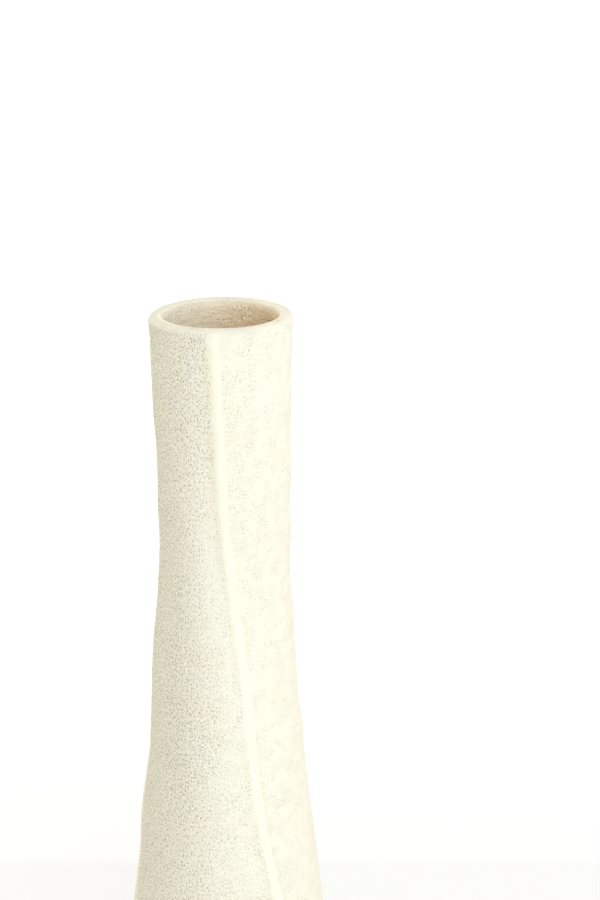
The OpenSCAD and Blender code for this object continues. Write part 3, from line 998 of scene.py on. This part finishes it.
def make_glaze(name):
    """Dry cream glaze with crowded pinholes, smoother on the lip and on the ribs, with painted
    shade in its pits and hollows, on the lip, beside the ribs and down the inside, painted light
    on the inner left, and a painted highlight along the lip's inner edge.
    """
    s = Shader(bpy.data.materials.new(name))
    where = s.where()
    place = s.add("Attribute", {"attribute_name": "place"}).outputs["Vector"]
    warp = s.noise(where, WANDERS_PER_M, 1.0)
    shift = s.vector("SUBTRACT", warp.outputs["Color"], (0.5, 0.5, 0.5))
    bent = s.vector("ADD", place, s.vector("MULTIPLY", shift, (PIT_WANDER,) * 3))
    drawn = s.vector("MULTIPLY", bent, (1.0, PIT_DRAW, 1.0))

    crowd = s.patches(where, CROWDS_PER_M, CROWD_ENDS, least=THIN_CROWD)
    calm = s.patches(where, CALMS_PER_M, NOISE_ENDS, detail=1.0, least=LEAST_CALM)
    calm = s.times(s.attribute("smoothness"), calm)
    calm = s.math("MAXIMUM", calm, s.span(s.attribute("smoothness"), *ALL_CALM))
    rough_share = s.math("SUBTRACT", 1.0, calm)
    shown = s.times(crowd, rough_share)
    distance, chance = cells(s, drawn, PITS_PER_M, True)
    core = s.times(s.dots(distance, chance, PIT_SIZES), shown)
    dish = s.times(s.span(distance, DISH_REACH, 0.0), shown)

    grain = s.noise(drawn, GRAIN_PER_M, 1.0).outputs["Fac"]
    height = s.times(grain, s.times(rough_share, GRAIN_RISE))
    height = s.math("SUBTRACT", height, s.times(core, PIT_DEPTH))
    height = s.math("SUBTRACT", height, s.times(dish, DISH_DEPTH))
    wiped = s.noise(s.vector("MULTIPLY", where, WIPE_DRAW), WIPES_PER_M, 1.0).outputs["Fac"]
    wiped = s.times(wiped, s.times(s.attribute("down"), WIPE_RISE))
    height = s.math("ADD", height, wiped)

    patch = s.patches(where, TINTS_PER_M, TINT_ENDS, detail=3.0, rough=0.6)
    skin = s.mix(patch, CREAM_COOL, CREAM_WARM)
    patch = s.patches(where, CREAMS_PER_M, NOISE_ENDS)
    skin = s.mix(s.times(patch, CREAM_SHARE), skin, CREAM)
    # painted shade beside the ribs
    skin = s.mix(s.attribute("rib_shade"), skin, RIB_SHADE_TONE)
    # painted shade on the lip
    skin = s.mix(s.attribute("lip"), skin, LIP_SHADE_TONE)
    # painted highlight along the lip's inner edge
    skin = s.mix(s.attribute("crest"), skin, LIP_HIGHLIGHT_TONE)
    # painted shade in the hollows of the grain, then in the pinholes
    tint = s.times(rough_share, GRAIN_SHADE)
    tint = s.times(s.span(grain, *NOISE_ENDS[::-1]), tint)
    skin = s.mix(tint, skin, PIT_SHADE)
    skin = s.mix(core, skin, PIT_SHADE)
    # tan painted shade down the inside, deeper in its pits
    inner = s.mix(s.times(core, INNER_PIT_SHADE_SHARE), INNER_SHADE_TAN, INNER_PIT_SHADE)
    return s.finish(
        Base_Color=s.mix(s.attribute("inside"), skin, inner),
        Roughness=s.span(core, 0.0, 1.0, GLAZE_ROUGH, PIT_ROUGH),
        Specular_IOR_Level=0.35,
        Normal=s.bump(height, MM),
    )


def make_bare_clay():
    """Fired stoneware without glaze: sandy, buff, with a few dark specks of iron."""
    s = Shader(bpy.data.materials.new("bare_clay"))
    where = s.where()
    tone = s.patches(where, TONES_PER_M, NOISE_ENDS, detail=3.0, rough=0.6)
    skin = s.mix(tone, CLAY_DARK, CLAY_PALE)
    specks = s.dots(*cells(s, where, SPECKS_PER_M, False), SPECK_SIZES)
    skin = s.mix(s.times(specks, IRON_SHARE), skin, IRON)
    sand = s.noise(where, SAND_PER_M, 3.0, 0.65).outputs["Fac"]
    skin = s.mix(s.span(sand, *SAND_ENDS, 0.0, SAND_SHARE), skin, SAND)
    return s.finish(
        Base_Color=skin,
        Roughness=s.span(tone, 0.0, 1.0, *CLAY_ROUGH),
        Specular_IOR_Level=0.25,
        Normal=s.bump(sand, SAND_RISE * MM),
    )


def make_felt():
    """Pressed grey wool: short tangled fibres, with painted shade between the tufts."""
    s = Shader(bpy.data.materials.new("felt"))
    where = s.where()
    tufts = s.noise(where, TUFTS_PER_M, 4.0, 0.7).outputs["Fac"]
    hairs = s.noise(where, HAIRS_PER_M, 3.0, 0.7).outputs["Fac"]
    tufts = s.times(tufts, TUFT_SHARE)
    pile = s.math("ADD", tufts, s.times(hairs, 1 - TUFT_SHARE))
    return s.finish(
        # painted shade where the pile is low
        Base_Color=s.mix(s.span(pile, *NOISE_ENDS), FELT_SHADE, FELT_PALE),
        Roughness=0.95,
        Specular_IOR_Level=0.1,
        Sheen_Weight=0.3,
        Sheen_Roughness=0.5,
        Normal=s.bump(pile, PILE_RISE * MM),
    )


# Stage, light and camera

FLOOR_HALF = 12.0
FLOOR_EDGE = 0.254  # where the table ends and the backdrop begins
EDGE_BEFORE, EDGE_BEHIND = 0.008, 0.009  # how soft that edge is
EDGE_FADE = (0.3, 0.6)  # sideways, where it is lost
BACKDROP_DEPTH = 0.6  # over which it turns white
FLOOR_FADE = (0.4, 1.6)  # from the vase, where the floor turns into plain white
FLOOR_GLOW, BACKDROP_GLOW, FAR_GLOW = 0.69, 0.735, 1.0
FLOOR_TONE, FLOOR_SEEN = colour(232, 231, 228), (0.25, 0.25, 0.25, 1)  # as lit, as seen
AMBIENT, AMBIENT_TINT = 0.81, (1.0, 0.94, 0.795, 1)
WHITE = (1, 1, 1, 1)
LAMP_AIM, LAMP_DISTANCE, LAMP_SIZE = 0.28, 1.5, 0.6
LAMPS = (  # degrees to the right of the camera and above the table, power and tint
    ("key", 17, 20, 10.4, (0.72, 0.83, 1.0)),
    ("left", -130, 20, 6.0, (0.91, 0.96, 1.0)),
    ("right", 130, 25, 5.0, (0.87, 0.95, 1.0)),
)
CAMERA_AT = (0.0392, -0.959, 0.690)
CAMERA_TURN = 72.0  # up from looking straight down
LENS, SENSOR = 80.0, 36.0


def make_floor():
    """A pale floor that looks white, and still shows the vase's soft shadow."""
    a = FLOOR_HALF
    mesh = bpy.data.meshes.new("floor")
    mesh.from_pydata([(-a, -a, 0), (a, -a, 0), (a, a, 0), (-a, a, 0)], [], [(0, 1, 2, 3)])
    made = add_object("floor", mesh)
    s = Shader(bpy.data.materials.new("floor"))
    split = s.add("SeparateXYZ", Vector=s.where())
    x, y = split.outputs["X"], split.outputs["Y"]
    beyond = s.span(y, FLOOR_EDGE - EDGE_BEFORE, FLOOR_EDGE + EDGE_BEHIND)
    aside = s.span(s.math("ABSOLUTE", x, 0.0), *EDGE_FADE, 1.0, 0.0)
    beyond = s.times(beyond, aside)
    far = s.span(y, FLOOR_EDGE, FLOOR_EDGE + BACKDROP_DEPTH, BACKDROP_GLOW, FAR_GLOW)
    brighter = s.times(beyond, s.math("SUBTRACT", far, FLOOR_GLOW))
    glow = s.math("ADD", FLOOR_GLOW, brighter)
    reach = s.add("VectorMath", {"operation": "LENGTH"}, Vector=s.where())
    round_it = s.span(reach.outputs["Value"], *FLOOR_FADE, FLOOR_GLOW, FAR_GLOW)
    glow = s.math("MAXIMUM", glow, round_it)
    plain = s.add("BsdfDiffuse", Color=FLOOR_TONE)
    dim = s.add("BsdfDiffuse", Color=FLOOR_SEEN)
    shine = s.add("Emission", Strength=glow)
    both = s.fill(s.add("AddShader"), dim.outputs[0], shine.outputs[0])
    s.show_both(plain, both, "OutputMaterial")
    mesh.materials.append(s.owner)


def make_world():
    """Soft light from all round, behind a plain white background."""
    s = Shader(bpy.data.worlds.new("studio"))
    light = s.add("Background", Color=AMBIENT_TINT, Strength=AMBIENT)
    seen = s.add("Background", Color=WHITE, Strength=1.0)
    s.show_both(light, seen, "OutputWorld")
    bpy.context.scene.world = s.owner


def make_lamp(name, turn, rise, power, tint):
    """A soft square lamp, so many degrees to the right of the camera and above the table."""
    data = bpy.data.lights.new(name, "AREA")
    data.shape = "SQUARE"
    data.size = LAMP_SIZE
    data.energy = power
    data.color = tint
    lamp = add_object(name, data)
    turn, rise = math.radians(turn), math.radians(rise)
    away = (math.cos(rise) * math.sin(turn), -math.cos(rise) * math.cos(turn), math.sin(rise))
    lamp.location = Vector((0.0, 0.0, LAMP_AIM)) + Vector(away) * LAMP_DISTANCE
    lamp.rotation_euler = (-Vector(away)).to_track_quat("-Z", "Y").to_euler()


def make_camera():
    """The camera at the photograph's viewing angle."""
    data = bpy.data.cameras.new("camera")
    data.lens = LENS
    data.sensor_width = SENSOR
    camera = add_object("camera", data)
    camera.location = CAMERA_AT
    camera.rotation_euler = (math.radians(CAMERA_TURN), 0.0, 0.0)
    bpy.context.scene.camera = camera


def dress(made, material):
    """Gives a piece its material and slot, and puts it in its node's place."""
    piece, node = made
    piece.data.materials.append(material)
    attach(piece, "root")
    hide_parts(node)


rough_glaze = make_glaze("rough_glaze")
smooth_glaze = make_glaze("smooth_glaze")
bare_clay = make_bare_clay()
felt = make_felt()

skin = Skin()
for course in range(len(COURSES)):
    for k in range(len(SLABS)):
        dress(make_slab(skin, course, k), rough_glaze)
for k in range(len(SEAMS)):
    dress(make_seam(skin, k), smooth_glaze)
dress(make_lip(skin), smooth_glaze)
dress(make_base(skin), rough_glaze)
dress(make_corner_coil(), rough_glaze)
dress(make_foot_ring(), bare_clay)
for number in range(1, 5):
    dress(make_pad(number), felt)

make_floor()
make_world()
make_camera()
for lamp in LAMPS:
    make_lamp(*lamp)

bpy.context.scene.view_settings.view_transform = "Standard"
